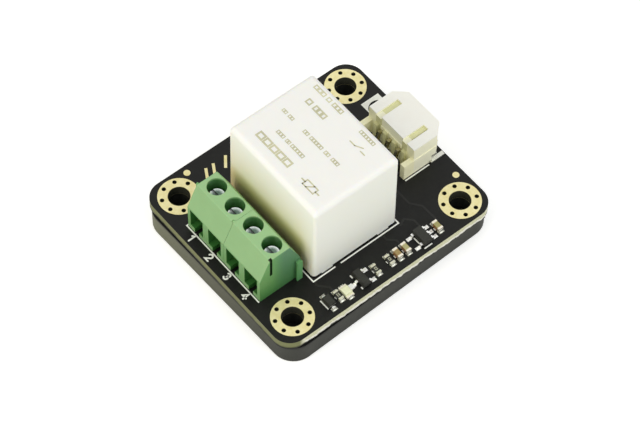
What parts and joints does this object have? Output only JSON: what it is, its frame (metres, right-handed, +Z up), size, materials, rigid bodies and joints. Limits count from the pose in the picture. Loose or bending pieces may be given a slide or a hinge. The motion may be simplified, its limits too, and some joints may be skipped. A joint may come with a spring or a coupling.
{
  "type": "relay module board",
  "caption": "Small relay module: a circuit board with a power relay, screw terminals, a side-entry connector and small chips, on a shallow insulating cover.",
  "frame": {"origin": "middle of the four mounting holes, on the plane that the cover stands on", "axes": "+Z up through the board, +X from the screw terminals to the connector"},
  "size_m": [0.0379, 0.0328, 0.021],
  "materials": {
    "board": "matte solder mask",
    "gold": "gold plated",
    "cover": "satin",
    "relay_plastic": "satin",
    "relay_base_plastic": "matte",
    "copper_wire": "enamelled wire",
    "iron": "zinc plated",
    "spring_bronze": "bright",
    "silver": "bright",
    "tinned_pin": "tinned",
    "terminal_plastic": "satin",
    "screw_steel": "nickel plated",
    "clamp_steel": "zinc plated",
    "contact_tin": "tinned",
    "connector_plastic": "satin",
    "tab_tin": "tinned",
    "resistor": "glazed",
    "capacitor": "ceramic",
    "lamp": "clear resin",
    "black_epoxy": "moulded",
    "solder": "bright"
  },
  "bodies": {
    "module": {"circuit_board": "board", "mounting_pads": "gold", "bottom_cover": "cover", "relay_case": "relay_plastic", "relay_base": "relay_base_plastic", "coil_bobbin": "relay_base_plastic", "coil_winding": "copper_wire", "iron_core": "iron", "yoke": "iron", "closed_contact": "spring_bronze", "closed_rivet": "silver", "open_contact": "spring_bronze", "open_rivet": "silver", "common_pin": "spring_bronze", "coil_pin_1": "tinned_pin", "coil_pin_2": "tinned_pin", "terminal_housing_1": "terminal_plastic", "terminal_housing_2": "terminal_plastic", "terminal_contact_1": "contact_tin", "terminal_contact_2": "contact_tin", "terminal_contact_3": "contact_tin", "terminal_contact_4": "contact_tin", "connector_housing": "connector_plastic", "connector_contact_1": "contact_tin", "connector_contact_2": "contact_tin", "connector_contact_3": "contact_tin", "solder_tab_1": "tab_tin", "solder_tab_2": "tab_tin", "resistor_1": "resistor", "resistor_2": "resistor", "resistor_3": "resistor", "capacitor_1": "capacitor", "capacitor_2": "capacitor", "capacitor_3": "capacitor", "indicator_led": "lamp", "diode": "black_epoxy", "transistor": "black_epoxy", "regulator": "black_epoxy", "solder_joints": "solder"},
    "screw_1": {"terminal_screw_1": "screw_steel"},
    "clamp_1": {"wire_clamp_1": "clamp_steel"},
    "screw_2": {"terminal_screw_2": "screw_steel"},
    "clamp_2": {"wire_clamp_2": "clamp_steel"},
    "screw_3": {"terminal_screw_3": "screw_steel"},
    "clamp_3": {"wire_clamp_3": "clamp_steel"},
    "screw_4": {"terminal_screw_4": "screw_steel"},
    "clamp_4": {"wire_clamp_4": "clamp_steel"},
    "armature_set": {"armature": "iron", "contact_leaf": "spring_bronze", "moving_rivet": "silver"}
  },
  "joints": [
    {"name": "screw_1_turn", "type": "hinge", "parent": "module", "child": "screw_1", "pos_m": [-0.0133, 0.00594, 0.01145], "axis": [0, 0, -1], "range_deg": [0, 1216]},
    {"name": "clamp_1_lift", "type": "slide", "parent": "module", "child": "clamp_1", "axis": [0, 0, 1], "range_m": [0, 0.00135]},
    {"name": "screw_2_turn", "type": "hinge", "parent": "module", "child": "screw_2", "pos_m": [-0.0133, 0.00198, 0.01145], "axis": [0, 0, -1], "range_deg": [0, 1216]},
    {"name": "clamp_2_lift", "type": "slide", "parent": "module", "child": "clamp_2", "axis": [0, 0, 1], "range_m": [0, 0.00135]},
    {"name": "screw_3_turn", "type": "hinge", "parent": "module", "child": "screw_3", "pos_m": [-0.0133, -0.00198, 0.01145], "axis": [0, 0, -1], "range_deg": [0, 1216]},
    {"name": "clamp_3_lift", "type": "slide", "parent": "module", "child": "clamp_3", "axis": [0, 0, 1], "range_m": [0, 0.00135]},
    {"name": "screw_4_turn", "type": "hinge", "parent": "module", "child": "screw_4", "pos_m": [-0.0133, -0.00594, 0.01145], "axis": [0, 0, -1], "range_deg": [0, 1216]},
    {"name": "clamp_4_lift", "type": "slide", "parent": "module", "child": "clamp_4", "axis": [0, 0, 1], "range_m": [0, 0.00135]},
    {"name": "armature_rock", "type": "hinge", "parent": "module", "child": "armature_set", "pos_m": [-0.00159, 0.00605, 0.01702], "axis": [1, 0, 0], "range_deg": [0, 2.2], "stiffness_Nm_per_rad": 0.02, "springref_deg": -5.73}
  ],
  "couplings": [
    {"joint": "screw_1_turn", "follows": "clamp_1_lift", "rad_per_m": 15708},
    {"joint": "screw_2_turn", "follows": "clamp_2_lift", "rad_per_m": 15708},
    {"joint": "screw_3_turn", "follows": "clamp_3_lift", "rad_per_m": 15708},
    {"joint": "screw_4_turn", "follows": "clamp_4_lift", "rad_per_m": 15708}
  ]
}
